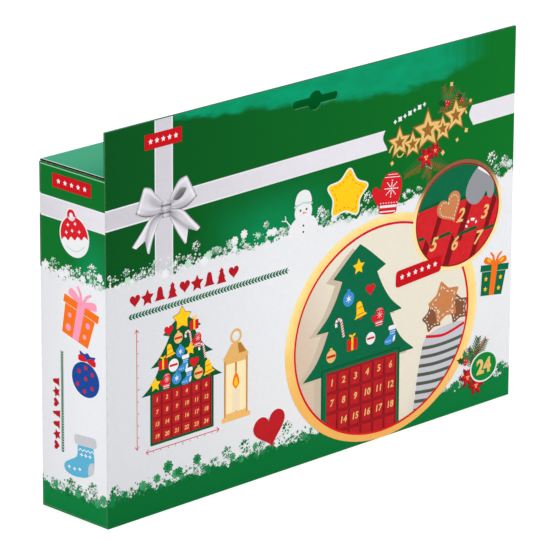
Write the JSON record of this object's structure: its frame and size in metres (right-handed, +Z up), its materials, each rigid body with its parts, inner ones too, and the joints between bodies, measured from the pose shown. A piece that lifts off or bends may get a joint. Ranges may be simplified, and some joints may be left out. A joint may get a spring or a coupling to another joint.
{
  "type": "advent calendar",
  "caption": "Felt advent calendar kit in an upright printed carton with a hanging header and a hinged tuck lid; the folded calendar and loose felt ornaments are inside.",
  "frame": {"origin": "centre of the carton's footprint, on the surface that it stands on", "axes": "+X to the right seen from the printed front, +Y from the front to the back, +Z up"},
  "size_m": [0.3, 0.05, 0.211],
  "materials": {
    "printed_board": "gloss",
    "plain_board": "matte",
    "felt_green": "matte",
    "felt_red": "matte",
    "felt_white": "matte",
    "felt_gold": "matte",
    "felt_blue": "matte",
    "felt_brown": "matte",
    "ribbon_red": "satin"
  },
  "bodies": {
    "carton": {"front_panel": "printed_board", "header_back_layer": "printed_board", "left_side_panel": "printed_board", "right_side_panel": "printed_board", "back_panel": "printed_board", "glue_flap": "plain_board", "bottom_outer_flap": "printed_board", "bottom_inner_flap": "plain_board", "bottom_dust_flap_left": "plain_board", "bottom_dust_flap_right": "plain_board", "felt_tree": "felt_green", "pocket_row_1": "felt_red", "pocket_row_2": "felt_red", "pocket_row_3": "felt_red", "pocket_row_4": "felt_red", "hanging_loop": "ribbon_red", "felt_star_1": "felt_gold", "felt_star_2": "felt_red", "felt_heart_1": "felt_red", "felt_heart_2": "felt_white", "felt_bell_1": "felt_gold", "felt_bell_2": "felt_red", "felt_fir_1": "felt_green", "felt_fir_2": "felt_white", "felt_stocking_1": "felt_red", "felt_stocking_2": "felt_blue", "felt_mitten_1": "felt_white", "felt_mitten_2": "felt_red", "felt_cane_1": "felt_red", "felt_cane_2": "felt_white", "felt_bauble_1": "felt_blue", "felt_bauble_2": "felt_gold", "felt_house_1": "felt_brown", "felt_house_2": "felt_red", "felt_gift_1": "felt_green", "felt_gift_2": "felt_gold"},
    "lid": {"lid_panel": "printed_board"},
    "lid_tuck": {"lid_tuck_flap": "printed_board"},
    "left_dust_flap": {"dust_flap_left": "plain_board"},
    "right_dust_flap": {"dust_flap_right": "plain_board"}
  },
  "joints": [
    {"name": "lid_hinge", "type": "hinge", "parent": "carton", "child": "lid", "pos_m": [0, 0.0259, 0.1862], "axis": [-1, 0, 0], "range_deg": [0, 265]},
    {"name": "lid_tuck_hinge", "type": "hinge", "parent": "lid", "child": "lid_tuck", "pos_m": [0, -0.0231, 0.1862], "axis": [-1, 0, 0], "range_deg": [0, 101]},
    {"name": "left_dust_flap_hinge", "type": "hinge", "parent": "carton", "child": "left_dust_flap", "pos_m": [-0.1495, 0, 0.186], "axis": [0, -1, 0], "range_deg": [0, 96]},
    {"name": "right_dust_flap_hinge", "type": "hinge", "parent": "carton", "child": "right_dust_flap", "pos_m": [0.1495, 0, 0.186], "axis": [0, 1, 0], "range_deg": [0, 96]}
  ],
  "couplings": [
    {"joint": "lid_tuck_hinge", "follows": "lid_hinge", "ratio": 0.38},
    {"joint": "left_dust_flap_hinge", "follows": "lid_hinge", "ratio": 0.36},
    {"joint": "right_dust_flap_hinge", "follows": "lid_hinge", "ratio": 0.36}
  ]
}
